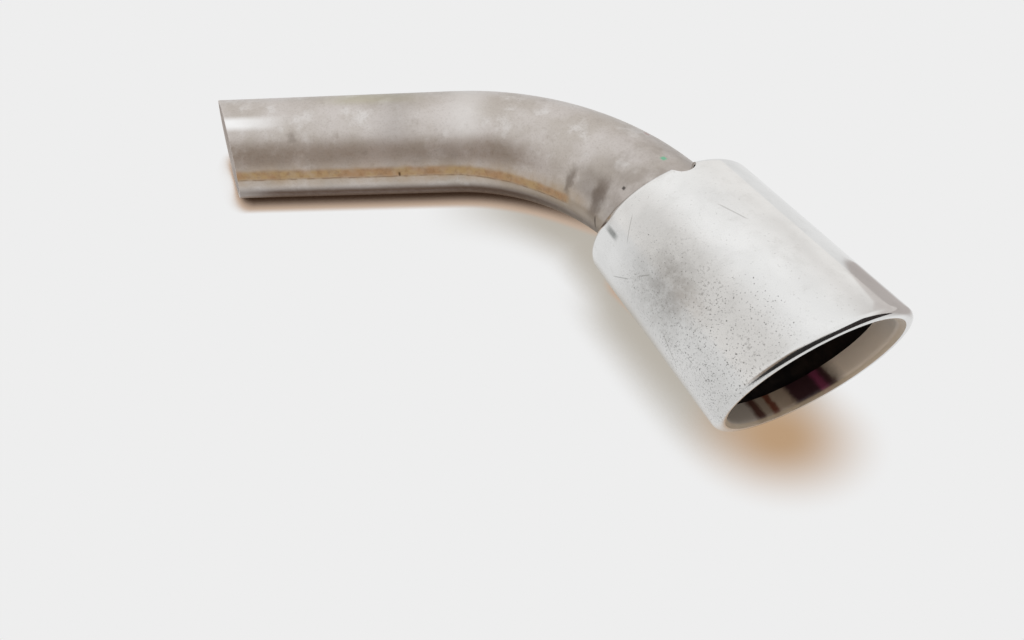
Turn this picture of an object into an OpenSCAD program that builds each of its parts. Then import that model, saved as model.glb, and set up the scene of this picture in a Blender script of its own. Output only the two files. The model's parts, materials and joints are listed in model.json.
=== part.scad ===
// Exhaust tip: a bent steel pipe that carries a polished round tip with a rolled lip.
// The pipe starts along +X, bends level towards -Y, and its axis meets the sawn end at the origin.
// The whole part is then rolled about the pipe, as it lies on a flat surface: along the pipe's
// straight length and on the lowest point of the shell's rear, with the mouth raised.

/* [Pipe] */
// Outside diameter of the pipe
pipe_od = 50; // [45:0.5:54]
// Wall of the pipe
pipe_wall = 1.5; // [1:0.1:3]
// Straight length, from the sawn end to the bend
straight_len = 118; // [60:1:200]
// Radius of the bend, at the middle of the pipe
bend_radius = 105; // [80:1:180]
// Angle of the bend
bend_angle = 66.5; // [30:0.5:90]
// How far the saw cut is turned out of square, seen from above
saw_turn = 21; // [0:0.5:30]
// How far the saw cut leans out of square, seen from the side
saw_lean = 6; // [-10:0.5:10]

/* [Tip shell] */
// Length of the shell along its axis
shell_len = 94.5; // [70:0.5:140]
// Wall of the shell
shell_wall = 1.2; // [0.8:0.1:2]
// How far the shell's rear sits back over the bend
shell_back = 2; // [0:0.5:4]
// Radius of the rounded shoulder at the shell's rear
shoulder_r = 3.5; // [2.5:0.5:10]
// Flat ring between the collar hole and the shoulder
rear_ledge = 8.2; // [3:0.1:15]
// How much the shell's radius grows from rear to front
shell_flare = 1.7; // [0:0.1:8]
// Angle of the shell's rear out of square
rear_slash = 9; // [0:0.5:12]
// Turn of the rear's longest point from the bottom towards the inside of the bend
rear_turn = 24; // [-90:1:90]
// Outside radius of the rolled lip
lip_r = 3; // [2.5:0.1:5]
// Length of the flange that the lip turns back into the mouth
lip_return = 7.5; // [4:0.5:20]
// Angle of the mouth out of square, longer at the top
mouth_slash = 8.5; // [0:0.5:20]

/* [Rear notch] */
// Width of the notch in the shell's rear
notch_w = 10; // [6:0.5:14]
// Depth of the notch along the shell's axis
notch_depth = 5.5; // [5:0.5:12]
// Turn of the notch away from the top, towards the inside of the bend
notch_turn = 6.5; // [-90:0.5:90]

/* [Joint] */
// Length of pipe inside the shell
pipe_in = 30; // [10:1:60]
// Gap between the pipe and the shell's collar hole
collar_gap = 0.4; // [0.3:0.05:0.8]
// Leg of the weld bead
weld_leg = 2; // [1:0.1:4]
// Gap between the weld bead and what it joins
weld_gap = 0.1; // [0.05:0.05:0.3]
// Angle that the weld leaves free on each side of the notch
weld_break = 24; // [5:1:60]

/* [Hidden] */
$fn = 96;
// Overlap that a cutting shape has past the face it cuts
over = 1;
// Steps round the shell, and steps in each rounded stretch of its section
turn_steps = 64;
arc_steps = 5;

pipe_r = pipe_od / 2;
bore_r = pipe_r - pipe_wall;
// Lap of the bend over each straight length, and how much wider the bend is than they are
lap_angle = 0.5;
bend_swell = 0.05;
collar_r = pipe_r + collar_gap;
ledge_r = collar_r + rear_ledge;
rear_r = ledge_r + shoulder_r;
front_r = rear_r + shell_flare;
lip_z = shell_len - lip_r;
lip_mid_r = front_r - lip_r;
// The saw cut's place on the axis moves by these shares towards the inside of the bend and down
saw_in = tan(saw_turn);
saw_down = -tan(saw_lean) / cos(saw_turn);

// Where the bend ends, and the tip's own directions there
bend_end = [straight_len + bend_radius * sin(bend_angle), -bend_radius * (1 - cos(bend_angle)), 0];
tip_axis = [cos(bend_angle), -sin(bend_angle), 0];
shell_start = bend_end - shell_back * tip_axis;
tip_side = [-sin(bend_angle), -cos(bend_angle), 0];

// Both ends of the shell are out of square. A point of its wall is further along by a share of its
// height above the axis and of its place across, and the shares change from the rear's to the mouth's.
rear_up = tan(rear_slash) * cos(rear_turn);
rear_across = tan(rear_slash) * sin(rear_turn);
function up_share(z) = rear_up + (tan(mouth_slash) - rear_up) * z / shell_len;
function across_share(z) = rear_across * (1 - z / shell_len);

// Puts a shape on the tip's axis, from a point of it: +Z along it, -X up
module at_tip(start) {
    translate(start) rotate([0, 90, -bend_angle]) children();
}

// Rolls a shape from level to how it lies
module at_rest() {
    rotate([rest_roll, 0, 0]) children();
}

// The pipe's wall, cut square across
module pipe_ring(swell) {
    difference() {
        circle(r = pipe_r + swell);
        circle(r = bore_r + swell);
    }
}

// The straight length, with some to spare for the saw
module inlet_leg() {
    translate([-pipe_od, 0, 0]) rotate([0, 90, 0])
        linear_extrude(straight_len + pipe_od) pipe_ring(0);
}

// The bend laps over both straight lengths, and is a hair wider so that they fuse
module bend() {
    translate([straight_len, -bend_radius, 0]) rotate([0, 0, 90 - bend_angle - lap_angle])
        rotate_extrude(angle = bend_angle + 2 * lap_angle)
            translate([bend_radius, 0]) pipe_ring(bend_swell);
}

// The length inside the shell
module inner_leg() {
    at_tip(bend_end) linear_extrude(pipe_in - shell_back) pipe_ring(0);
}

// Everything that the saw took off
module sawn_off() {
    rotate([0, saw_lean, saw_turn])
        translate([-3 * pipe_od, -pipe_od, -pipe_od])
            cube([3 * pipe_od, 2 * pipe_od, 2 * pipe_od]);
}

module bent_pipe() {
    color("#a9a39c")
    at_rest() {
        difference() {
            inlet_leg();
            sawn_off();
        }
        bend();
        inner_leg();
    }
}

// Points of an arc in the shell's section, as place along the axis and radius
function arc_points(mid, radius, from, to) =
    [for (i = [0 : arc_steps])
        let (a = from + (to - from) * i / arc_steps)
        mid + radius * [cos(a), sin(a)]];

// The shell's section, once round: outside from rear to lip, then back along the inside
shell_section = concat(
    [[0, collar_r]],
    arc_points([shoulder_r, ledge_r], shoulder_r, 180, 90),
    arc_points([lip_z, lip_mid_r], lip_r, 90, -90),
    [[lip_z - lip_return, lip_mid_r - lip_r]],
    [[lip_z - lip_return, lip_mid_r - lip_r + shell_wall]],
    arc_points([lip_z, lip_mid_r], lip_r - shell_wall, -90, 90),
    arc_points([shoulder_r, ledge_r], shoulder_r - shell_wall, 90, 180),
    [[shell_wall, collar_r]]
);

// A point of a section turned by an angle from the top, and moved along by the slant of the ends
function shell_point(p, a) = let (up = p[1] * cos(a), out = p[1] * sin(a))
    [-up, out, p[0] + up_share(p[0]) * up + across_share(p[0]) * out];

// The same point for a ring that sits on the bend, which carries the pipe towards its inside
function weld_point(p, a) = let (point = shell_point(p, a), back = max(0, shell_back - point[2]))
    point - [0, bend_radius - sqrt(bend_radius ^ 2 - back ^ 2), 0];

// The roll about the pipe at which a point of the shell comes as low as the pipe itself. The part
// lies at the roll that the first point to touch gives it.
function touch_roll(point) =
    let (spot = shell_start + point[2] * tip_axis - point[1] * tip_side - [0, 0, point[0]])
    atan2(spot[2], -spot[1]) + asin(min(1, (pipe_r + bend_swell) / norm([spot[1], spot[2]])));
rest_roll = min([for (i = [0 : turn_steps - 1]) for (p = shell_section)
    touch_roll(shell_point(p, 360 * i / turn_steps))]);

// A ring through rows of points, with an end face at each end unless it closes on itself
module ring_of(rows, closed) {
    count = len(rows[0]);
    last = len(rows) - 1;
    steps = closed ? last + 1 : last;
    points = [for (row = rows) for (point = row) point];
    sides = [for (i = [0 : steps - 1]) for (j = [0 : count - 1])
        let (next_i = (i + 1) % len(rows), next_j = (j + 1) % count)
        for (face = [
            [i * count + j, next_i * count + j, next_i * count + next_j],
            [i * count + j, next_i * count + next_j, i * count + next_j]
        ]) face];
    ends = closed ? [] : [
        [for (j = [0 : count - 1]) j],
        [for (j = [count - 1 : -1 : 0]) last * count + j]];
    polyhedron(points = points, faces = concat(sides, ends));
}

// A slot with a round end, cut outwards through the shell's rear
module notch_cut() {
    rear_z = up_share(0) * rear_r * cos(notch_turn) - across_share(0) * rear_r * sin(notch_turn);
    translate([0, 0, rear_z]) rotate([0, 0, notch_turn]) rotate([0, -90, 0])
        linear_extrude(rear_r + over) {
            translate([-2 * notch_depth, -notch_w / 2])
                square([3 * notch_depth - notch_w / 2, notch_w]);
            translate([notch_depth - notch_w / 2, 0]) circle(d = notch_w);
        }
}

module tip_shell() {
    color("#d8dadb")
    at_rest() at_tip(shell_start)
    difference() {
        ring_of([for (i = [0 : turn_steps - 1])
            [for (p = shell_section) shell_point(p, 360 * i / turn_steps)]], true);
        notch_cut();
    }
}

// A fillet round the pipe, against the shell's rear, open at the notch
module weld_bead() {
    inner = pipe_r + bend_swell + weld_gap;
    section = [
        [-weld_gap, inner + weld_leg],
        [-weld_gap - weld_leg * 0.7, inner + weld_leg / 2],
        [-weld_gap - weld_leg, inner],
        [-weld_gap, inner]];
    color("#8d8780")
    at_rest() at_tip(shell_start)
    ring_of([for (i = [0 : turn_steps])
        let (a = weld_break - notch_turn + (360 - 2 * weld_break) * i / turn_steps)
        [for (p = section) weld_point(p, a)]], false);
}

bent_pipe();
tip_shell();
weld_bead();
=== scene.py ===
# %% [markdown]
# An exhaust tip cut off a car: a bent stainless pipe that carries a polished round shell.
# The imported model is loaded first. It is the fixed frame: every piece made here takes its place from it,
# replaces one of its nodes, or puts a finish on one.

import json
import math

import bmesh
import bpy
from mathutils import Matrix, Vector


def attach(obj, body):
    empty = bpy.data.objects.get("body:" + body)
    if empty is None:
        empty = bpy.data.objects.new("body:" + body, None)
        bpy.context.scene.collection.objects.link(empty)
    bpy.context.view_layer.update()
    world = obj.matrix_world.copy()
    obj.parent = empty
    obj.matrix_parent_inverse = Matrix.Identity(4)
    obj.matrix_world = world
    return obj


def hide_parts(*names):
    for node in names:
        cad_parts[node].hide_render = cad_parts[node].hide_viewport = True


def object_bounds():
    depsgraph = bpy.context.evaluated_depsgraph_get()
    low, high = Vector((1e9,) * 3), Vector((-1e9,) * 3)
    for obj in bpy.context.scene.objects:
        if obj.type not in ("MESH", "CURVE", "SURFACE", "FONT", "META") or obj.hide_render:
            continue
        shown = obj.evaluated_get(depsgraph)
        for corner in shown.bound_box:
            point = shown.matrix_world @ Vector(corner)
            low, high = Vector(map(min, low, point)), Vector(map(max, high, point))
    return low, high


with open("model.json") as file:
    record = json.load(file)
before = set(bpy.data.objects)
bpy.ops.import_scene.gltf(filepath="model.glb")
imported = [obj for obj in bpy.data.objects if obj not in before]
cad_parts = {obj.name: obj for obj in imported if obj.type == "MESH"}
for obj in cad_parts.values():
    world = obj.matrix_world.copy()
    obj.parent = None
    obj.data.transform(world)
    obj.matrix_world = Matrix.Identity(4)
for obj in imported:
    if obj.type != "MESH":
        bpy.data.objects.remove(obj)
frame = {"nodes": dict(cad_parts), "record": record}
cad_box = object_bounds()
print("nodes", sorted(frame["nodes"]), "box", cad_box)

# %% [markdown]
# The part's own sizes drive every piece below, in millimetres, as a maker would write them down.
# Blender works in metres, so MM turns one into the other.

# %% Sizes of the pipe and the shell
MM = 0.001

PIPE_R = 25.0
PIPE_WALL = 1.5
STRAIGHT_LEN = 118.0
BEND_R = 105.0
BEND_ANGLE = math.radians(66.5)
PIPE_IN = 28.0
SAW_TURN = math.radians(21.0)
SAW_LEAN = math.radians(6.0)

SHELL_LEN = 94.5
SHELL_WALL = 1.2
SHELL_BACK = 2.0
SHOULDER_R = 3.5
COLLAR_R = PIPE_R + 0.4
LEDGE_R = COLLAR_R + 8.2
REAR_R = LEDGE_R + SHOULDER_R
FRONT_R = REAR_R + 1.7
LIP_R = 3.0
LIP_Z = SHELL_LEN - LIP_R
LIP_MID_R = FRONT_R - LIP_R
LIP_RETURN = 7.5
MOUTH_SLASH = math.radians(8.5)
REAR_SLASH = math.radians(9.0)
REAR_TURN = math.radians(24.0)
NOTCH_W = 10.0
NOTCH_DEPTH = 5.5
NOTCH_TURN = math.radians(6.5)

bend_len = BEND_R * BEND_ANGLE
pipe_len = STRAIGHT_LEN + bend_len + PIPE_IN
print("pipe length along its axis", round(pipe_len, 1), "mm")

# %% [markdown]
# The part lies on the pipe's straight length, and is rolled about the pipe until the shell's rear touches
# the surface too, so the mouth is raised. Two matrices hold this. AT_REST rolls a shape as the whole part
# rolls, and AT_TIP puts a shape that was made round the Z axis onto the shell's axis, with -X up.

# %% How the part lies
REST_ROLL = math.radians(-11.0663)

AT_REST = Matrix.Rotation(REST_ROLL, 4, "X")
bend_end = Vector((STRAIGHT_LEN + BEND_R * math.sin(BEND_ANGLE), -BEND_R * (1 - math.cos(BEND_ANGLE)), 0.0))
tip_axis = Vector((math.cos(BEND_ANGLE), -math.sin(BEND_ANGLE), 0.0))
AT_TIP = (AT_REST @ Matrix.Translation(bend_end - SHELL_BACK * tip_axis)
          @ Matrix.Rotation(-BEND_ANGLE, 4, "Z") @ Matrix.Rotation(math.radians(90.0), 4, "Y"))
pipe_axis = AT_REST.to_3x3() @ Vector((1.0, 0.0, 0.0))
mount_axis = Vector(frame["record"]["mounts"][0]["axis"])
print("pipe axis", tuple(round(v, 4) for v in pipe_axis), "frame says", tuple(-v for v in mount_axis))

# %% [markdown]
# The camera comes before the looks, because every finish is judged through it. A phone held about
# 30 cm above the part and a little in front of it took the photograph, and the picture was cut so that
# the lens's middle isn't the picture's middle. The horizontal shift stands for that cut.

# %% The camera
LENS_MM = 26.0
SENSOR_MM = 36.0
CAMERA_SPOT = Vector((131.36, -261.47, 285.92))
CAMERA_AIM = Vector((100.84, -89.22, -25.05))
CAMERA_ROLL = math.radians(-9.502)
CAMERA_SHIFT_X = 0.0898

camera_data = bpy.data.cameras.new("camera")
camera_data.lens = LENS_MM
camera_data.sensor_width = SENSOR_MM
camera_data.shift_x = CAMERA_SHIFT_X
camera = bpy.data.objects.new("camera", camera_data)
bpy.context.scene.collection.objects.link(camera)
look = (CAMERA_AIM - CAMERA_SPOT).normalized()
camera.matrix_world = (Matrix.Translation(CAMERA_SPOT * MM) @ look.to_track_quat("-Z", "Y").to_matrix().to_4x4()
                       @ Matrix.Rotation(CAMERA_ROLL, 4, "Z"))
bpy.context.scene.camera = camera
print("camera looks down", round(math.degrees(math.asin(-look.z)), 1), "degrees")

# %% [markdown]
# A round wall is a section, once round its outline, turned about an axis. lathe() does this for the pipe,
# which is bent afterwards, and for the shell. Each point of the section is its place along the axis
# and its radius. A wall made this way is closed, so it has a true thickness.

# %% A closed wall turned from its section
def arc(mid, radius, start, end, steps):
    """Points of an arc in a section, from one angle to another in degrees; 0 points along the axis."""
    turns = (math.radians(start + (end - start) * i / steps) for i in range(steps + 1))
    return [(mid[0] + radius * math.cos(a), mid[1] + radius * math.sin(a)) for a in turns]


def line(start, end, steps):
    """Points between two points of a section, without the two themselves."""
    return [(start[0] + (end[0] - start[0]) * i / steps, start[1] + (end[1] - start[1]) * i / steps)
            for i in range(1, steps)]


def mesh_piece(name, verts, edges, faces):
    """A new object in the scene, from plain lists of points, edges and faces."""
    mesh = bpy.data.meshes.new(name)
    mesh.from_pydata(verts, edges, faces)
    piece = bpy.data.objects.new(name, mesh)
    bpy.context.scene.collection.objects.link(piece)
    return piece


def lathe(name, section, turns, place):
    """Turns a closed section once round; place() takes the distance along, the radius and the angle."""
    verts = [place(along, radius, 2 * math.pi * i / turns) for i in range(turns) for along, radius in section]
    count = len(section)
    faces = [(i * count + j, i * count + (j + 1) % count,
              (i + 1) % turns * count + (j + 1) % count, (i + 1) % turns * count + j)
             for i in range(turns) for j in range(count)]
    return mesh_piece(name, verts, [], faces)


# %% [markdown]
# A mesh written as lists may have faces that point inwards, and a smooth shape still needs its real edges.
# Two helpers see to that on every piece.

# %% Faces outwards, and crisp edges
SHARP_ANGLE = math.radians(35.0)


def face_out(piece):
    """Turns every face of a closed piece outwards."""
    work = bmesh.new()
    work.from_mesh(piece.data)
    bmesh.ops.recalc_face_normals(work, faces=work.faces)
    work.to_mesh(piece.data)
    work.free()


def smooth(piece):
    """Shades a piece smooth, but keeps its real edges crisp."""
    piece.data.shade_smooth()
    piece.data.set_sharp_from_angle(angle=SHARP_ANGLE)


# %% [markdown]
# The pipe is made as the real one was: first straight, then bent. The straight pipe is turned from its
# wall's section, and its inlet end is skewed by the saw cut. The skew fades out along the pipe.

# %% The straight pipe
PIPE_TURNS = 192
STATION_MM = 2.0
CHAMFER = 0.15
SAW_FADE = 40.0


def saw_offset(y, z):
    """How far the slanted saw cut lies from the square one."""
    return -y * math.tan(SAW_TURN) + z * math.tan(SAW_LEAN) / math.cos(SAW_TURN)


def pipe_place(along, radius, angle):
    """A point of the straight pipe: angle 0 is the top, and grows towards the inside of the bend."""
    y = -radius * math.sin(angle)
    z = radius * math.cos(angle)
    share = max(0.0, 1.0 - along / SAW_FADE)
    return Vector((along + share * saw_offset(y, z), y, z)) * MM


stations = round(pipe_len / STATION_MM)
bore_r = PIPE_R - PIPE_WALL
pipe_section = (
    [(0.0, PIPE_R - CHAMFER), (CHAMFER, PIPE_R)]
    + line((CHAMFER, PIPE_R), (pipe_len - CHAMFER, PIPE_R), stations)
    + [(pipe_len - CHAMFER, PIPE_R), (pipe_len, PIPE_R - CHAMFER), (pipe_len, bore_r + CHAMFER),
       (pipe_len - CHAMFER, bore_r)]
    + line((pipe_len - CHAMFER, bore_r), (CHAMFER, bore_r), stations)
    + [(CHAMFER, bore_r), (0.0, bore_r + CHAMFER)])
pipe = lathe("pipe", pipe_section, PIPE_TURNS, pipe_place)
print("straight pipe", len(pipe.data.polygons), "faces")

# %% [markdown]
# Nodes bend the pipe, lay the weld and paint every finish, and one small function adds them all. A colour
# is written as it looks, in a hex code, and is turned into the linear values that Blender works in.

# %% One function adds a node
MATH, VECTOR_MATH = "ShaderNodeMath", "ShaderNodeVectorMath"


def hex_linear(code):
    """An sRGB hex colour as linear red, green, blue and alpha."""
    parts = [int(code[i:i + 2], 16) / 255 for i in (1, 3, 5)]
    return [p / 12.92 if p <= 0.04045 else ((p + 0.055) / 1.055) ** 2.4 for p in parts] + [1.0]


def fill(tree, node, inputs):
    """Fills a node's inputs, each with a plain value, a hex colour, or another node's output to link."""
    for key, value in inputs.items():
        socket = node.inputs[key]
        if isinstance(value, bpy.types.NodeSocket):
            tree.links.new(value, socket)
        else:
            socket.default_value = hex_linear(value) if socket.type == "RGBA" else value


def add(tree, kind, inputs=(), out=0, **settings):
    """Adds a node with its inputs, in order or by name, and its own settings. Gives back the output
    that out names, or all of them where out is None."""
    node = tree.nodes.new(kind)
    for name, value in settings.items():
        setattr(node, name, value)
    fill(tree, node, inputs if isinstance(inputs, dict) else dict(enumerate(inputs)))
    return node.outputs if out is None else node.outputs[out]


print("a middle grey is", round(hex_linear("#808080")[0], 3), "in linear light")

# %% [markdown]
# A tree of Geometry Nodes gets named sizes, and a finish to put on its shape in its last node. Those
# finishes are named here, still blank, and are painted further down.

# %% Trees with named sizes, and blank finishes
def new_tree(name, sizes):
    """A Geometry Nodes tree with a geometry coming in, named sizes, and a geometry going out."""
    tree = bpy.data.node_groups.new(name, "GeometryNodeTree")
    face = tree.interface
    face.new_socket(name="Geometry", in_out="INPUT", socket_type="NodeSocketGeometry")
    for size in sizes:
        face.new_socket(name=size, in_out="INPUT", socket_type="NodeSocketFloat")
    face.new_socket(name="Geometry", in_out="OUTPUT", socket_type="NodeSocketGeometry")
    return tree


def plain_mesh(piece, modifier):
    """Keeps what a modifier makes of a piece as its plain mesh, and removes the modifier."""
    shaped = piece.evaluated_get(bpy.context.evaluated_depsgraph_get())
    mesh = bpy.data.meshes.new_from_object(shaped)
    piece.modifiers.remove(modifier)
    piece.data = mesh


def apply_tree(piece, tree, **values):
    """Runs the tree on a piece with these sizes."""
    modifier = piece.modifiers.new("shape", "NODES")
    modifier.node_group = tree
    for item in tree.interface.items_tree:
        if item.in_out == "INPUT" and item.name in values:
            modifier[item.identifier] = values[item.name]
    plain_mesh(piece, modifier)
    # The last node leaves an empty slot in front of the finish
    if piece.data.materials[0] is None:
        piece.data.materials.pop(index=0)


def blank(name):
    """A finish that has a name and no look yet."""
    material = bpy.data.materials.new(name)
    material.use_nodes = True
    return material


pipe_steel, weld_steel = blank("satin_stainless"), blank("as_welded_steel")
print("blank finishes", pipe_steel.name, weld_steel.name)

# %% [markdown]
# The bending tree first stores where each point was on the straight pipe, because scratches, clouds and
# the seam all follow the metal and not the room. Then it carries each point round the bend: the part
# before the bend stays, the part in it turns with the distance along it, and the part after it runs on
# straight. At the end it rolls the whole pipe to how it lies.

# %% The tree that bends the pipe
bend_tree = new_tree("bend_a_tube", ["straight", "radius", "angle", "roll"])
given = add(bend_tree, "NodeGroupInput", out=None)
spot = add(bend_tree, "GeometryNodeInputPosition")
kept = add(bend_tree, "GeometryNodeStoreNamedAttribute",
           {"Geometry": given["Geometry"], "Name": "tube_place", "Value": spot},
           data_type="FLOAT_VECTOR", domain="POINT")
parts = add(bend_tree, "ShaderNodeSeparateXYZ", (spot,), out=None)
before = add(bend_tree, MATH, (parts[0], given["straight"]), operation="MINIMUM")
past = add(bend_tree, MATH, (parts[0], given["straight"]), operation="SUBTRACT")
turned = add(bend_tree, MATH, (past, given["radius"]), operation="DIVIDE")
turned = add(bend_tree, MATH, (turned, 0.0), operation="MAXIMUM")
turned = add(bend_tree, MATH, (turned, given["angle"]), operation="MINIMUM")
arc_len = add(bend_tree, MATH, (given["angle"], given["radius"]), operation="MULTIPLY")
after = add(bend_tree, MATH, (past, arc_len), operation="SUBTRACT")
after = add(bend_tree, MATH, (after, 0.0), operation="MAXIMUM")
lever = add(bend_tree, MATH, (parts[1], given["radius"]), operation="ADD")
arm = add(bend_tree, "ShaderNodeCombineXYZ", (after, lever, parts[2]))
swing = add(bend_tree, MATH, (turned, -1.0), operation="MULTIPLY")
swung = add(bend_tree, "ShaderNodeVectorRotate", {"Vector": arm, "Angle": swing}, rotation_type="Z_AXIS")
inward = add(bend_tree, MATH, (given["radius"], -1.0), operation="MULTIPLY")
hub = add(bend_tree, "ShaderNodeCombineXYZ", (before, inward))
bent = add(bend_tree, VECTOR_MATH, (swung, hub), operation="ADD")
rolled = add(bend_tree, "ShaderNodeVectorRotate", {"Vector": bent, "Angle": given["roll"]},
             rotation_type="X_AXIS")
moved = add(bend_tree, "GeometryNodeSetPosition", {"Geometry": kept, "Position": rolled})
single = add(bend_tree, "GeometryNodeRealizeInstances", {"Geometry": moved})
coated = add(bend_tree, "GeometryNodeSetMaterial", {"Geometry": single, "Material": pipe_steel})
add(bend_tree, "NodeGroupOutput", {"Geometry": coated}, out=None)

# %% [markdown]
# The tree runs once, with the pipe's own sizes, and its result is kept as a plain mesh.

# %% Bend the pipe
apply_tree(pipe, bend_tree, straight=STRAIGHT_LEN * MM, radius=BEND_R * MM, angle=BEND_ANGLE, roll=REST_ROLL)
face_out(pipe)
smooth(pipe)

# %% [markdown]
# The shell is one sheet, spun to shape and rolled in at its mouth. Its section runs from the hole that
# the pipe goes through, over the shoulder, along the wall, round the lip, and back as a short flange
# that ends in a crisp edge. Both ends are slanted, so each point moves along the axis with its height.
# A face's place in the section says which finish it has: polished outside, stained on the flange and
# the inner part of the lip, and sooty inside.

# %% The shell
SHELL_TURNS = 288
WALL_STEPS = 30
LIP_STEPS = 20
FLANGE_STEPS = 6
STAINED_LIP_STEPS = 8
POLISHED, SOOTY, STAINED = range(3)


def shell_place(along, radius, angle):
    """A point round the tip's axis: angle 0 is the top, 90 the outside of the bend."""
    up, out = radius * math.cos(angle), radius * math.sin(angle)
    share = along / SHELL_LEN
    rear_up = math.tan(REAR_SLASH) * math.cos(REAR_TURN)
    rear_across = math.tan(REAR_SLASH) * math.sin(REAR_TURN)
    slant = up * (rear_up + (math.tan(MOUTH_SLASH) - rear_up) * share) + out * rear_across * (1 - share)
    return Vector((-up, out, along + slant))


flange_r = LIP_MID_R - LIP_R
flange_z = LIP_Z - LIP_RETURN
outside = (arc((SHOULDER_R, LEDGE_R), SHOULDER_R, 180, 90, LIP_STEPS)
           + line((SHOULDER_R, REAR_R), (LIP_Z, FRONT_R), WALL_STEPS)
           + arc((LIP_Z, LIP_MID_R), LIP_R, 90, -90, LIP_STEPS)
           + line((LIP_Z, flange_r), (flange_z, flange_r), FLANGE_STEPS))
inside = (arc((LIP_Z, LIP_MID_R), LIP_R - SHELL_WALL, -90, 90, LIP_STEPS)
          + line((LIP_Z, FRONT_R - SHELL_WALL), (SHOULDER_R, REAR_R - SHELL_WALL), WALL_STEPS)
          + arc((SHOULDER_R, LEDGE_R), SHOULDER_R - SHELL_WALL, 90, 180, LIP_STEPS))
flange_end = [(flange_z, flange_r), (flange_z, flange_r + SHELL_WALL)]
shell_section = [(0.0, COLLAR_R)] + outside + flange_end + inside + [(SHELL_WALL, COLLAR_R)]
shell = lathe("shell", shell_section, SHELL_TURNS, lambda s, r, a: AT_TIP @ shell_place(s, r, a) * MM)

stain_start = 1 + len(outside) - FLANGE_STEPS - STAINED_LIP_STEPS
for face in shell.data.polygons:
    step = face.index % len(shell_section)
    face.material_index = POLISHED if step < stain_start else STAINED if step <= len(outside) else SOOTY
face_out(shell)

# %% [markdown]
# A notch with a round end is cut in the shell's rear, near the top. A boolean cuts it with a rounded
# block, which is deleted afterwards.

# %% The notch
NOTCH_STEPS = 24
CUT_OVER = 2.0
CUT_IN = 0.8


def notch_cutter():
    """A block with a round end that goes through the shell's shoulder and back wall."""
    half = NOTCH_W / 2
    outline = [(-CUT_OVER, half), (-CUT_OVER, -half)] + [
        (NOTCH_DEPTH - half + half * math.sin(a), -half * math.cos(a))
        for a in (math.pi * i / NOTCH_STEPS for i in range(NOTCH_STEPS + 1))]
    radii = (PIPE_R * CUT_IN, REAR_R + CUT_OVER)
    rear = shell_place(0.0, REAR_R, -NOTCH_TURN).z
    lie = AT_TIP @ Matrix.Translation((0.0, 0.0, rear)) @ Matrix.Rotation(NOTCH_TURN, 4, "Z")
    verts = [(lie @ Vector((-r, side, along))) * MM for r in radii for along, side in outline]
    count = len(outline)
    faces = [tuple(range(count)), tuple(range(2 * count - 1, count - 1, -1))]
    faces += [(i, (i + 1) % count, count + (i + 1) % count, count + i) for i in range(count)]
    cutter = mesh_piece("notch_cutter", verts, [], faces)
    face_out(cutter)
    return cutter


cutter = notch_cutter()
cut = shell.modifiers.new("notch", "BOOLEAN")
cut.operation = "DIFFERENCE"
cut.solver = "EXACT"
cut.object = cutter
plain_mesh(shell, cut)
bpy.data.objects.remove(cutter)
smooth(shell)
print("notched shell", len(shell.data.polygons), "faces")

# %% [markdown]
# The weld is a row of small overlapping ripples round the pipe, open at the notch. A path of points gives
# the way, sunk into the corner between the pipe and the shell's rear.

# %% The weld's path
WELD_GAP = 0.1
BEND_SWELL = 0.05
WELD_BREAK = math.radians(24.0)
WELD_RIPPLES = 132
RIPPLE_R = 0.98
RIPPLE_LEN = 0.62


def weld_place(angle):
    """The middle of the bead: like a point of the shell's rear, but it follows the bend under it."""
    middle = PIPE_R + BEND_SWELL + WELD_GAP + RIPPLE_R
    point = shell_place(-WELD_GAP - RIPPLE_R, middle, angle)
    back = max(0.0, SHELL_BACK - point.z)
    point.y -= BEND_R - math.sqrt(BEND_R ** 2 - back ** 2)
    return point


weld_start, weld_span = WELD_BREAK - NOTCH_TURN, 2 * math.pi - 2 * WELD_BREAK
weld_turns = [weld_start + weld_span * (i + 0.5) / WELD_RIPPLES for i in range(WELD_RIPPLES)]
weld = mesh_piece("weld", [AT_TIP @ weld_place(a) * MM for a in weld_turns],
                  [(i, i + 1) for i in range(WELD_RIPPLES - 1)], [])
print("weld path of", len(weld_turns), "points")

# %% [markdown]
# Geometry Nodes put a flattened ball on each point of the path, turned along it. A seeded random number
# makes some a little smaller, as a hand-held torch does.

# %% The tree that lays the ripples
bead_tree = new_tree("ripples_on_a_path", ["size", "length"])
given = add(bead_tree, "NodeGroupInput", out=None)
path = add(bead_tree, "GeometryNodeMeshToCurve", {"Mesh": given["Geometry"]})
points = add(bead_tree, "GeometryNodeCurveToPoints", {"Curve": path}, out=None, mode="EVALUATED")
ball = add(bead_tree, "GeometryNodeMeshUVSphere", {"Segments": 10, "Rings": 6, "Radius": 1.0}, out="Mesh")
uneven = add(bead_tree, "FunctionNodeRandomValue", {2: 0.9, 3: 1.0, "Seed": 7}, out=1, data_type="FLOAT")
girth = add(bead_tree, MATH, (given["size"], uneven), operation="MULTIPLY")
form = add(bead_tree, "ShaderNodeCombineXYZ", (girth, girth, given["length"]))
beads = add(bead_tree, "GeometryNodeInstanceOnPoints",
            {"Points": points["Points"], "Instance": ball, "Rotation": points["Rotation"], "Scale": form})
joined = add(bead_tree, "GeometryNodeRealizeInstances", {"Geometry": beads})
coated = add(bead_tree, "GeometryNodeSetMaterial", {"Geometry": joined, "Material": weld_steel})
add(bead_tree, "NodeGroupOutput", {"Geometry": coated}, out=None)
apply_tree(weld, bead_tree, size=RIPPLE_R * MM, length=RIPPLE_LEN * MM)
face_out(weld)
smooth(weld)

# %% [markdown]
# The finishes are painted in coats, from the bare metal up. A coat is a colour and how much of it shows,
# from 0 to 1. Small helpers make that share: noise with a grain in millimetres, edges that ease from one
# level to another, and bands that keep a mark to its place on the metal.

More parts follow.
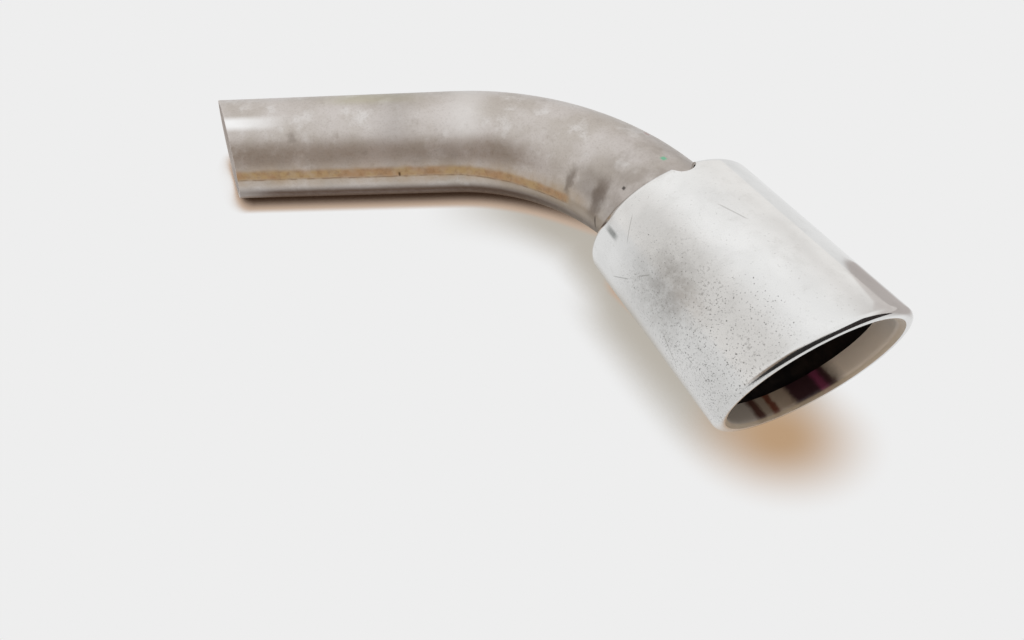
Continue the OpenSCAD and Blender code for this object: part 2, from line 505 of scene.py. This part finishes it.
# %% Patterns for the finishes
def start_finish(material, roughness, metallic=1.0):
    """Gives a blank finish its plain values, and gives back its nodes and its shader."""
    tree = material.node_tree
    shader = tree.nodes["Principled BSDF"]
    fill(tree, shader, {"Roughness": roughness, "Metallic": metallic})
    return tree, shader


def paint(tree, colour, *coats):
    """Lays coats over a colour, one after another. Each is how much of it shows, and its colour."""
    for share, code in coats:
        colour = add(tree, "ShaderNodeMix", {0: share, 6: colour, 7: code}, out=2,
                     data_type="RGBA", clamp_factor=True)
    return colour


def ease(tree, value, start, end, low=0.0, high=1.0):
    """Eases from a low level to a high one while a value goes from start to end."""
    return add(tree, "ShaderNodeMapRange", (value, start, end, low, high), interpolation_type="SMOOTHSTEP")


def band(tree, value, middle, half, soft):
    """1 within half of the middle, easing to 0 over a soft edge."""
    apart = add(tree, MATH, (value, middle), operation="SUBTRACT")
    apart = add(tree, MATH, (apart,), operation="ABSOLUTE")
    return ease(tree, apart, half - soft / 2, half + soft / 2, 1.0, 0.0)


def times(tree, *values):
    """What is left where several shares meet: all of them multiplied."""
    result = values[0]
    for value in values[1:]:
        result = add(tree, MATH, (result, value), operation="MULTIPLY")
    return result


def degrees_round(tree, across, up):
    """The angle from the top, in degrees."""
    turn = add(tree, MATH, (across, up), operation="ARCTAN2")
    return add(tree, MATH, (turn,), operation="DEGREES")


# %% [markdown]
# Noise has a scale without a unit. Here it is set by the size of its grain, because that is what can be
# measured on the metal: clouds of 20 mm, a mottle of 1 mm.

# %% Grain in millimetres
def grain(tree, place, size, detail=3.0, rough=0.55, seed=0.0):
    """Noise between 0 and 1 whose features are about a size, in millimetres."""
    shifted = add(tree, VECTOR_MATH, (place, (seed, seed * 0.37, seed * 0.71)), operation="ADD")
    return add(tree, "ShaderNodeTexNoise", {"Vector": shifted, "Scale": 1.0 / (size * MM),
                                            "Detail": detail, "Roughness": rough})


def patches(tree, place, shape, start, end, low=0.0, high=1.0):
    """Soft patches: shape is the grain's size, detail, roughness and seed; the rest is as in ease()."""
    return ease(tree, grain(tree, place, *shape), start, end, low, high)


def clouded(tree, place, colour, clouds):
    """Lays clouds over a colour: each is its grain's shape, where it starts and ends, strength, colour."""
    return paint(tree, colour, *((patches(tree, place, shape, start, end, 0.0, strength), code)
                                 for shape, start, end, strength, code in clouds))


def wander(tree, value, place, shape, reach):
    """A value that wanders by up to reach either way over the metal."""
    sway = add(tree, MATH, (grain(tree, place, *shape), 2 * reach, -reach), operation="MULTIPLY_ADD")
    return add(tree, MATH, (value, sway), operation="ADD")


# %% [markdown]
# The pipe is welded stainless tube with a satin surface that has been hot: clouded, mottled, and darker
# with road dirt near the shell. Every mark is placed by its distance from the sawn end, in millimetres,
# and its angle from the top, in degrees, which the bending tree has kept. The first coats are the clouds.

# %% The pipe's clouds
PIPE_CLOUDS = (((22.0, 4.0), 0.35, 0.65, 1.0, "#bdb6af"),
               ((12.0, 5.0, 0.6, 0.3), 0.52, 0.72, 0.7, "#dbd8d6"),
               ((7.0, 5.0, 0.65, 0.5), 0.55, 0.75, 0.45, "#a59c94"),
               ((0.9, 2.0, 0.6, 0.2), 0.45, 0.75, 0.22, "#8f857c"))


def on_pipe(tree):
    """A point's place on the straight pipe, how far along it is, its angle and its radius."""
    place = add(tree, "ShaderNodeAttribute", out="Vector", attribute_name="tube_place")
    parts = add(tree, "ShaderNodeSeparateXYZ", (place,), out=None)
    along = add(tree, MATH, (parts[0], MM), operation="DIVIDE")
    across = add(tree, MATH, (parts[1], -1.0), operation="MULTIPLY")
    angle = degrees_round(tree, across, parts[2])
    around = add(tree, VECTOR_MATH, (place, (0.0, 1.0, 1.0)), operation="MULTIPLY")
    radius = add(tree, VECTOR_MATH, (around,), out="Value", operation="LENGTH")
    return place, along, angle, add(tree, MATH, (radius, MM), operation="DIVIDE")


tree, pipe_shader = start_finish(pipe_steel, 0.36)
place, along, angle, radius = on_pipe(tree)
colour = clouded(tree, place, "#cbc5c1", PIPE_CLOUDS)
print("clouds of", [cloud[0][0] for cloud in PIPE_CLOUDS], "mm on the pipe")

# %% [markdown]
# Handling and weather gave the top most of its zones: an olive cast behind the top, and a darker and a paler
# stretch across it. Near the sawn end a brighter patch is partly a polished patch and partly a painted highlight.
# Brown lies on both sides of the seam, and road dirt thickens towards the shell.

# %% The pipe's zones
# Near-white near the sawn end: partly a polished patch, partly a painted highlight in the base colour.
polish_and_highlight = times(tree, band(tree, angle, 24.0, 7.0, 9.0), ease(tree, along, 44.0, 8.0), 0.9)
olive = times(tree, band(tree, along, 78.0, 20.0, 22.0), band(tree, angle, -14.0, 14.0, 14.0), 0.4)
top = band(tree, angle, 8.0, 46.0, 32.0)
dark_stretch = times(tree, top, band(tree, along, 90.0, 7.0, 22.0), 0.35)
pale_stretch = times(tree, top, band(tree, along, 124.0, 8.0, 16.0), 0.5)
colour = paint(tree, colour, (polish_and_highlight, "#f6f6f6"), (olive, "#b5b08f"), (dark_stretch, "#8f8883"),
               (pale_stretch, "#dcd9d6"))
cast = times(tree, band(tree, angle, 88.0, 12.0, 26.0), ease(tree, along, 222.0, 190.0, 0.25, 1.0),
             patches(tree, place, (11.0, 4.0, 0.6, 0.25), 0.3, 0.7, 0.3, 0.75))
below = times(tree, band(tree, angle, 99.0, 10.0, 8.0), ease(tree, along, 135.0, 160.0), 0.5)
dirt = times(tree, ease(tree, along, 190.0, 222.0),
             patches(tree, place, (9.0, 4.0, 0.6, 0.9), 0.3, 0.7, 0.15, 0.55))
colour = paint(tree, colour, (cast, "#b09777"), (below, "#8c7a62"), (dirt, "#8f857c"))
print("zones painted; the pipe's finish has", len(tree.nodes), "nodes")

# %% [markdown]
# Smears end the seam and darken the pipe by the shell. Each row is a smear's middle and half length along
# the pipe, its angle and reach round it, a seed and its strength.

# %% The pipe's smears
SMEARS = ((193.0, 2.2, 70.0, 15.0, 0.11, 0.55), (214.0, 3.4, 74.0, 22.0, 0.13, 0.6),
          (206.0, 9.0, 62.0, 14.0, 0.17, 0.35), (39.0, 1.6, 42.5, 5.0, 0.19, 0.3))

for mid, half, turn, reach, seed, strength in SMEARS:
    shaky = wander(tree, along, place, (5.0, 3.0, 0.6, seed), 4.0)
    smear = times(tree, band(tree, shaky, mid, half, half * 1.6), band(tree, angle, turn, reach, reach), strength)
    colour = paint(tree, colour, (smear, "#5f5145"))
print(len(SMEARS), "smears")

# %% [markdown]
# The tube was rolled from strip and welded along its length. The heat left a golden-brown band on the
# flush seam, at the inside of the bend, with a darker line along its lower edge. The band drifts a little
# round the tube and stops short of the shell.

# %% The seam's heat tint
drift = ease(tree, along, 110.0, 185.0, 85.0, 92.5)
seam_angle = add(tree, MATH, (wander(tree, angle, place, (8.0, 3.0, 0.5, 0.7), 1.5), drift),
                 operation="SUBTRACT")
seam_end = ease(tree, along, 197.0, 191.0)
gold = clouded(tree, place, "#ad8b69", (((10.0, 3.0, 0.6, 0.4), 0.4, 0.62, 1.0, "#b3976f"),
                                        ((3.0, 4.0, 0.6, 0.8), 0.45, 0.7, 0.6, "#937353")))
tint = times(tree, band(tree, seam_angle, 0.0, 5.8, 6.5), seam_end,
             patches(tree, place, (5.0, 3.0, 0.6, 0.35), 0.3, 0.6, 0.7, 0.95))
edge = times(tree, band(tree, seam_angle, 6.0, 0.9, 1.2), seam_end,
             patches(tree, place, (6.0, 2.0, 0.5, 0.6), 0.45, 0.6, 0.15, 0.45))
colour = paint(tree, colour, (tint, gold), (edge, "#6b5034"))
print("seam tinted; the pipe's finish has", len(tree.nodes), "nodes")

# %% [markdown]
# A few single marks make the pipe this one: dark specks, a fleck of teal paint and a pink one. Each row is a
# mark's middle and half length, its angle and reach, and its colour. What faces down is painted darker and
# browner towards the bottom: painted shade, for the shadow under the pipe that it mirrors.

# %% The pipe's single marks and painted shade underneath
PIPE_MARKS = ((91.3, 0.5, 88.0, 2.5, "#4f3a28"), (225.4, 0.9, 46.0, 1.6, "#3c3835"),
              (225.8, 1.1, -4.0, 2.6, "#6fbf9b"), (207.5, 1.2, -28.0, 2.0, "#a9807a"),
              (216.0, 0.5, 101.0, 9.0, "#4a3f36"))

for mid, half, turn, reach, code in PIPE_MARKS:
    mark = times(tree, band(tree, along, mid, half, half), band(tree, angle, turn, reach, reach), 0.85)
    colour = paint(tree, colour, (mark, code))
# Painted shade: the underside darkens towards the bottom, less so towards the shell and near the sawn end.
below = ease(tree, add(tree, MATH, (angle,), operation="ABSOLUTE"), 100.0, 116.0)
underside_shade = times(tree, below, ease(tree, along, 225.0, 150.0, 0.55, 1.0), ease(tree, along, 4.0, 30.0, 0.5, 1.0))
colour = paint(tree, colour, (underside_shade, "#523823"))
print(len(PIPE_MARKS), "single marks")

# %% [markdown]
# Soot coats the bore. It starts a few millimetres inside the saw cut, because the edge that was sawn last
# is bare and matte. Both dull the surface, and soot hides the metal.

# %% The bore, the sawn edge and the sheen
parts = add(tree, "ShaderNodeSeparateXYZ", (place,), out=None)
square_off = add(tree, MATH, (parts[1], math.tan(SAW_TURN) / MM, along), operation="MULTIPLY_ADD")
lean_off = add(tree, MATH, (parts[2], math.tan(SAW_LEAN) / math.cos(SAW_TURN) / MM), operation="MULTIPLY")
from_cut = add(tree, MATH, (square_off, lean_off), operation="SUBTRACT")
soot = times(tree, ease(tree, radius, 23.75, 23.6), ease(tree, from_cut, 3.0, 12.0))
sawn = times(tree, ease(tree, radius, 24.97, 24.9), ease(tree, from_cut, 4.0, 2.0))
colour = paint(tree, colour, (soot, "#2e2825"), (sawn, "#cfc8c3"))

satin = patches(tree, place, (3.0, 4.0, 0.6, 0.15), 0.3, 0.7, 0.33, 0.43)
dull = add(tree, MATH, (times(tree, soot, 0.85), times(tree, sawn, 0.6)), operation="MAXIMUM")
dull = add(tree, MATH, (satin, dull), operation="MAXIMUM")
covered = add(tree, MATH, (soot, times(tree, sawn, 0.8)), operation="MAXIMUM")
metal = add(tree, MATH, (1.0, covered), operation="SUBTRACT")
fill(tree, pipe_shader, {"Base Color": colour, "Roughness": dull, "Metallic": metal})
print("the pipe's finish has", len(tree.nodes), "nodes")

# %% [markdown]
# The shell is polished stainless, bright enough to mirror the room, but its age shows. Object coordinates
# are turned onto the tip's own axis first, so that each mark has a distance from the rear and an angle
# from the top. Fine pitting, where road salt sat, is densest on the side that faced the road.

# %% The shell's polish and pitting
SHELL_CLOUDS = (((26.0, 3.0), 0.35, 0.65, 1.0, "#dededd"), ((6.0, 5.0, 0.65, 0.4), 0.5, 0.75, 0.3, "#cccbc8"))


def on_tip(tree):
    """A point's place on the tip's own axis, which runs along Z with -X up."""
    room = add(tree, "ShaderNodeTexCoord", out="Object")
    return add(tree, "ShaderNodeMapping",
               {"Vector": room, "Location": AT_TIP.to_translation() * MM, "Rotation": AT_TIP.to_euler()},
               vector_type="TEXTURE")


polished = blank("polished_stainless")
tree, polished_shader = start_finish(polished, 0.16)
place = on_tip(tree)
parts = add(tree, "ShaderNodeSeparateXYZ", (place,), out=None)
along = add(tree, MATH, (parts[2], MM), operation="DIVIDE")
angle = degrees_round(tree, parts[1], add(tree, MATH, (parts[0], -1.0), operation="MULTIPLY"))
colour = clouded(tree, place, "#e8e8e7", SHELL_CLOUDS)

side = times(tree, ease(tree, angle, -122.0, -95.0), ease(tree, angle, -18.0, -50.0),
             ease(tree, along, 12.0, 34.0))
clouds = patches(tree, place, (16.0, 4.0, 0.6, 0.6), 0.4, 0.62, 0.25, 1.0)
speckle = patches(tree, place, (1.0, 3.0, 0.65, 0.1), 0.56, 0.64)
faint = times(tree, patches(tree, place, (1.1, 3.0, 0.6, 0.2), 0.62, 0.72), ease(tree, angle, 30.0, -10.0), 0.28)
colour = paint(tree, colour, (times(tree, side, 0.22), "#b4b2ae"),
               (times(tree, side, clouds, speckle, 0.55), "#757370"), (faint, "#9b9995"))
print("polish and pitting;", len(tree.nodes), "nodes")

# %% [markdown]
# Some pits are crisp black dots. Voronoi cells of 0.8 mm carry one each, shaken out of round by noise.
# The cell's own random colour says how big its dot is, how dark, and whether it is there at all. Each row
# is a field of dots: its angle and reach, its middle and half length, the share of cells and the strength.

# %% The shell's black dots
CELL_MM, SHAKE_GRAIN, SHAKE_MM = 0.8, 0.45, 0.65
DOT_FIELDS = ((-50.0, 22.0, 76.0, 15.0, 0.6, 0.95), (-72.0, 24.0, 46.0, 20.0, 0.7, 0.85),
              (-86.0, 26.0, 78.0, 18.0, 0.95, 0.85))

jitter = add(tree, "ShaderNodeTexNoise", {"Vector": place, "Scale": 1.0 / (SHAKE_GRAIN * MM), "Detail": 2.0},
             out="Color")
shaken = add(tree, VECTOR_MATH, (jitter, (SHAKE_MM * MM,) * 3, place), operation="MULTIPLY_ADD")
cells = add(tree, "ShaderNodeTexVoronoi", {"Vector": shaken, "Scale": 1.0 / (CELL_MM * MM)}, out=None,
            feature="F1")
chance = add(tree, "ShaderNodeSeparateColor", (cells["Color"],), out=None)
dot_size = ease(tree, chance[1], 0.0, 1.0, 0.45, 1.25)
dot = ease(tree, add(tree, MATH, (cells["Distance"], dot_size), operation="DIVIDE"), 0.3, 0.17)
for turn, reach, mid, half, share, strength in DOT_FIELDS:
    field = times(tree, band(tree, angle, turn, reach, 20.0), band(tree, along, mid, half, 12.0), share)
    chosen = add(tree, MATH, (chance[0], field), operation="LESS_THAN")
    dots = times(tree, dot, chosen, ease(tree, chance[2], 0.0, 1.0, 0.5, 1.0), strength)
    colour = paint(tree, colour, (dots, "#2b2826"))
print(len(DOT_FIELDS), "fields of dots")

# %% [markdown]
# Smudges, a painted reflection and scratches come last. A smudge's row is its middle and half length, its angle
# and reach, its colour, its strength and how patchy it is: a brown-grey smudge lies on the side, and a dark lens
# behind the shoulder is a painted reflection of the pipe. A scratch's row is its middle, its angle, half its
# length, its slope in degrees of turn per millimetre, and its colour. The ends are slanted, so a mark near one
# moves with them.

# %% The shell's smudges, a painted reflection, and scratches
# The third row is no smudge: the dark lens behind the shoulder is a painted reflection of the pipe.
SMUDGES_AND_REFLECTION = ((46.0, 9.0, -62.0, 12.0, "#96918c", 0.6, 1.0), (42.0, 15.0, -66.0, 26.0, "#acaaa6", 0.45, 1.0),
           (8.5, 3.4, -69.0, 2.0, "#7d807d", 0.85, 0.3), (57.0, 8.0, -60.0, 8.0, "#b5aea7", 0.35, 1.0))
SCRATCHES = ((24.5, -88.0, 4.5, 1.2, "#6f6d69"), (34.0, -70.5, 2.2, 1.6, "#77746f"),
             (14.0, -58.0, 3.0, -2.2, "#7f7c78"), (33.0, -7.0, 5.5, 0.5, "#9a9894"),
             (62.0, -93.0, 5.0, -0.9, "#7b7874"))


def shell_spot(along, angle):
    """Where a mark lies along the tip's axis, with the slant of the ends."""
    return shell_place(along, REAR_R, math.radians(angle)).z


for mid, half, turn, reach, code, strength, rough in SMUDGES_AND_REFLECTION:
    patchy = patches(tree, place, (4.0, 4.0, 0.65, 0.8), 0.35, 0.65, 1.0 - rough * 0.6, 1.0)
    smudge_or_reflection = times(tree, band(tree, along, shell_spot(mid, turn), half, half * 1.3),
                   band(tree, angle, turn, reach, reach * 1.3), patchy, strength)
    colour = paint(tree, colour, (smudge_or_reflection, code))
for mid, turn, half, slope, code in SCRATCHES:
    run = add(tree, MATH, (along, shell_spot(mid, turn)), operation="SUBTRACT")
    off = add(tree, MATH, (angle, turn), operation="SUBTRACT")
    off = add(tree, MATH, (off, times(tree, run, slope)), operation="SUBTRACT")
    scratch = times(tree, band(tree, run, 0.0, half, half * 0.5), band(tree, off, 0.0, 0.4, 0.9), 0.5)
    colour = paint(tree, colour, (scratch, code))

haze = patches(tree, place, (9.0, 4.0, 0.6, 0.3), 0.35, 0.7, 0.05, 0.11)
worn = ease(tree, angle, 12.0, -30.0, 0.0, 0.09)
sheen = add(tree, MATH, (haze, worn), operation="ADD")
sheen = add(tree, MATH, (sheen, times(tree, side, clouds, 0.1)), operation="ADD")
fill(tree, polished_shader, {"Base Color": colour, "Roughness": sheen})
print("the polish has", len(tree.nodes), "nodes")

# %% [markdown]
# Exhaust bakes onto the flange. The deposit is matte and no metal shows through, so it isn't metallic. It
# runs round as dark bars at the bottom and beige at the outside of the bend, and a colour ramp holds them
# by their angle from the bottom. On the lip it thins out to a plain straw colour.

# %% The baked deposit on the flange
DEPOSIT = ((-150.0, "#d2ccc4"), (-60.0, "#b5aa9d"), (-17.0, "#b8ac9f"), (-13.0, "#512e23"), (-8.0, "#55352a"),
           (-6.0, "#a3927f"), (-1.0, "#a08e7b"), (1.0, "#74402a"), (4.0, "#6e3a26"), (6.0, "#b8a48e"),
           (16.0, "#ab9580"), (19.0, "#3a1a1d"), (35.0, "#33161a"), (38.0, "#7f3350"), (41.0, "#742f48"),
           (43.0, "#3a1a1d"), (46.0, "#43201f"), (48.5, "#b0a190"), (56.0, "#fbe8d2"), (90.0, "#ffeeda"),
           (125.0, "#ece3d8"))

stained = blank("stained_stainless")
tree, stained_shader = start_finish(stained, 0.45, 0.0)
place = on_tip(tree)
parts = add(tree, "ShaderNodeSeparateXYZ", (place,), out=None)
turn = wander(tree, degrees_round(tree, parts[1], parts[0]), place, (4.0, 3.0, 0.6, 0.5), 2.5)
share = add(tree, MATH, (turn, 1.0 / 360.0, 0.5), operation="MULTIPLY_ADD")
stains = add(tree, "ShaderNodeValToRGB", (share,))
bars = stains.node.color_ramp.elements
while len(bars) < len(DEPOSIT):
    bars.new(0.5)
for bar, (degrees, code) in zip(bars, DEPOSIT):
    bar.position = degrees / 360.0 + 0.5
    bar.color = hex_linear(code)
around = add(tree, VECTOR_MATH, (place, (1.0, 1.0, 0.0)), operation="MULTIPLY")
radius = add(tree, VECTOR_MATH, (around,), out="Value", operation="LENGTH")
on_lip = ease(tree, radius, (flange_r + 0.1) * MM, (flange_r + 0.7) * MM)
colour = paint(tree, stains, (times(tree, on_lip, 0.75), "#d3bda0"))
fill(tree, stained_shader, {"Base Color": colour})
print(len(DEPOSIT), "stops round the flange")

# %% [markdown]
# Inside, the shell is steel under dry soot: nearly black, matte, with a little of the metal's shine. The
# weld is left as the torch made it: bare, brown-grey and rough.

# %% Soot inside, and the bare weld
sooty = blank("soot_on_steel")
for material, roughness, metallic, base, cloud in (
        (sooty, 0.75, 0.35, "#1a1412", ((7.0, 5.0, 0.6), 0.35, 0.7, 1.0, "#3d3029")),
        (weld_steel, 0.5, 1.0, "#a39a90", ((3.0, 4.0, 0.6), 0.35, 0.65, 1.0, "#7c7064"))):
    tree, shader = start_finish(material, roughness, metallic)
    place = add(tree, "ShaderNodeTexCoord", out="Object")
    fill(tree, shader, {"Base Color": clouded(tree, place, base, (cloud,))})
    print(material.name, len(tree.nodes), "nodes")

# %% [markdown]
# The shell's three finishes go on in the order of its faces' numbers. Then each piece stands in for its imported
# node, and rides on the part's one body.

# %% Put the finishes on
for finish in (polished, sooty, stained):
    shell.data.materials.append(finish)
for piece, node, slot in ((pipe, "bent_pipe", "pipe_steel"), (shell, "tip_shell", "polished_shell"),
                          (weld, "weld_bead", "weld_steel")):
    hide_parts(node)
    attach(piece, "root")
    print(piece.name, [finish.name for finish in piece.data.materials])

# %% [markdown]
# Polished metal shows what stands round it, so the room is part of the picture. Two cards stand behind
# the camera: a dark one, and a dim one at its right. They draw the black crescent on the lip. Only the
# metal sees them: they cast no shadow and the camera passes them by. A row is a card's name, the two ends
# of its foot, how high it starts and ends above the floor, and its colour.

# %% The cards
CARDS = (("dark_card", (150.0, -332.0), (428.0, -332.0), 35.0, 350.0, "#161313"),
         ("dim_card", (428.0, -332.0), (560.0, -175.0), 5.0, 330.0, "#2c2423"))
CARD_ROUGHNESS = 0.8


def flat_sheet(name, corners, code, roughness, seen):
    """A flat sheet of the stage, which casts no shadow; seen says whether the camera sees it."""
    sheet = mesh_piece(name, corners, [], [tuple(range(len(corners)))])
    material = blank(name)
    tree, shader = start_finish(material, roughness, 0.0)
    fill(tree, shader, {"Base Color": code})
    sheet.data.materials.append(material)
    sheet.visible_shadow = False
    sheet.visible_camera = seen
    return sheet


floor_z = cad_box[0][2]
for name, start, end, low, high, code in CARDS:
    corners = [(spot[0] * MM, spot[1] * MM, floor_z + level * MM)
               for spot, level in ((start, low), (end, low), (end, high), (start, high))]
    flat_sheet(name, corners, code, CARD_ROUGHNESS, False)
print(len(CARDS), "cards; the floor is at", round(floor_z / MM, 2), "mm")

# %% [markdown]
# The floor is one pale tone, to the camera and in the metal. Painted into that tone are the brown shadow that the
# photo shows where the part meets it, wider beside the bend and the shell, and a warm glow under the raised lip.
# How close the part is comes from ambient occlusion.

# %% The floor and its painted shadow
FLOOR_SIZE = 3000.0
FLOOR_ROUGHNESS = 0.7
SHADOW_REACH = 9.0
WIDE_REACH = 30.0
GLOW_SPOT = (256.0, -148.0)


def flat_place(tree, spot, spread=(1.0, 1.0, 0.0)):
    """The floor's own place seen from a spot of it, stretched by spread."""
    place = add(tree, "ShaderNodeTexCoord", out="Object")
    aside = add(tree, VECTOR_MATH, (place, (spot[0] * MM, spot[1] * MM, floor_z)), operation="SUBTRACT")
    return add(tree, VECTOR_MATH, (aside, spread), operation="MULTIPLY")


half = FLOOR_SIZE / 2 * MM
corners = [(-half, -half, floor_z), (half, -half, floor_z), (half, half, floor_z), (-half, half, floor_z)]
floor = flat_sheet("floor", corners, "#eeeeee", FLOOR_ROUGHNESS, True)
tree = floor.data.materials[0].node_tree
near = add(tree, "ShaderNodeAmbientOcclusion", {"Distance": SHADOW_REACH * MM}, out="AO", samples=16)
wide = add(tree, "ShaderNodeAmbientOcclusion", {"Distance": WIDE_REACH * MM}, out="AO", samples=16)
apart = add(tree, VECTOR_MATH, (flat_place(tree, GLOW_SPOT, (1.0, 1.35, 0.0)),), out="Value", operation="LENGTH")
beside = add(tree, "ShaderNodeSeparateXYZ", (flat_place(tree, (0.0, 0.0)),))
# Painted shadow and glow: the tone darkens to brown where the part is close, more widely beside the bend and
# shell, and warms under the lip.
wide_shadow = times(tree, ease(tree, wide, 0.95, 0.4), ease(tree, beside, 95.0 * MM, 165.0 * MM))
tone = paint(tree, "#eeeeee", (wide_shadow, "#b8b2a8"), (ease(tree, apart, 47.0 * MM, 3.0 * MM), "#ba9b7b"),
             (ease(tree, near, 1.0, 0.72), "#c2ab98"), (ease(tree, near, 0.8, 0.25), "#2e1d12"))
print("floor of", FLOOR_SIZE, "mm;", len(tree.nodes), "nodes")

# %% [markdown]
# The shell mirrors a pinkish wedge with one straight edge, in the floor and in the room behind it, so the
# metal sees one in both, and the camera doesn't. The floor shows its own tone to the camera and to the
# metal, and takes the room's light for everything else.

# %% The wedge that the metal sees
WEDGE_SPOT = (262.0, -120.0)
WEDGE_EDGE = 48.5
WEDGE_END, WEDGE_SOFT = -25.0, 20.0
EDGE_BLUR = 0.6


def wedge_side(tree, bearing):
    """1 between the wedge's sharp edge and its soft end."""
    return times(tree, ease(tree, bearing, WEDGE_EDGE + EDGE_BLUR, WEDGE_EDGE - EDGE_BLUR),
                 ease(tree, bearing, WEDGE_END, WEDGE_END + WEDGE_SOFT))


from_spot = flat_place(tree, WEDGE_SPOT)
parts = add(tree, "ShaderNodeSeparateXYZ", (from_spot,), out=None)
bearing = degrees_round(tree, parts[1], parts[0])
away = add(tree, VECTOR_MATH, (from_spot,), out="Value", operation="LENGTH")
rays = add(tree, "ShaderNodeLightPath", out=None)
wedge = times(tree, rays["Is Glossy Ray"], wedge_side(tree, bearing), ease(tree, away, 80.0 * MM, 150.0 * MM))
shown = add(tree, "ShaderNodeEmission", {"Color": paint(tree, tone, (wedge, "#beb7b4")), "Strength": 1.0})
seen = add(tree, MATH, (rays["Is Camera Ray"], rays["Is Glossy Ray"]), operation="MAXIMUM")
both = add(tree, "ShaderNodeMixShader", (seen, tree.nodes["Principled BSDF"].outputs[0], shown))
fill(tree, tree.nodes["Material Output"], {"Surface": both})
print("wedge from", WEDGE_END, "to", WEDGE_EDGE, "degrees")

# %% [markdown]
# The room lights the part evenly and is nearly white. A few soft zones are what the metal shows of it:
# brown on the camera's side, a pale grey at the left and at the far right, and white above the far
# side. A row is a zone's middle and half width in degrees round the room, its height and half height, its
# softness and its colour. The camera sees one plain pale tone.

# %% The room
ZONES = ((-94.0, 42.0, 31.0, 26.0, 22.0, "#b5a89e"), (-122.0, 17.0, 31.0, 26.0, 16.0, "#978779"),
         (172.0, 36.0, 24.0, 22.0, 30.0, "#e6e4e2"), (44.0, 12.0, 26.0, 12.0, 20.0, "#dfdcda"),
         (85.0, 34.0, 60.0, 12.0, 20.0, "#ffffff"))
ROOM_STRENGTH = 1.08

world = bpy.data.worlds.new("world")
bpy.context.scene.world = world
world.use_nodes = True
tree = world.node_tree
way = add(tree, "ShaderNodeSeparateXYZ", (add(tree, "ShaderNodeTexCoord", out="Generated"),), out=None)
azimuth = degrees_round(tree, way[1], way[0])
height = add(tree, MATH, (add(tree, MATH, (way[2],), operation="ARCSINE"),), operation="DEGREES")
room = paint(tree, "#f1efed", (ease(tree, height, 10.0, 60.0), "#fafafa"))
for mid, half_width, level, half_height, soft, code in ZONES:
    zone = times(tree, band(tree, azimuth, mid, half_width, soft), band(tree, height, level, half_height, soft))
    room = paint(tree, room, (zone, code))
wedge = times(tree, wedge_side(tree, azimuth), ease(tree, height, 34.0, 8.0))
camera_ray = add(tree, "ShaderNodeLightPath", out="Is Camera Ray")
room = paint(tree, room, (wedge, "#d2ccc9"), (camera_ray, "#e6e6e6"))
fill(tree, tree.nodes["Background"], {"Color": room, "Strength": ROOM_STRENGTH})
bpy.context.scene.view_settings.view_transform = "Standard"
print(len(ZONES), "zones in the room")
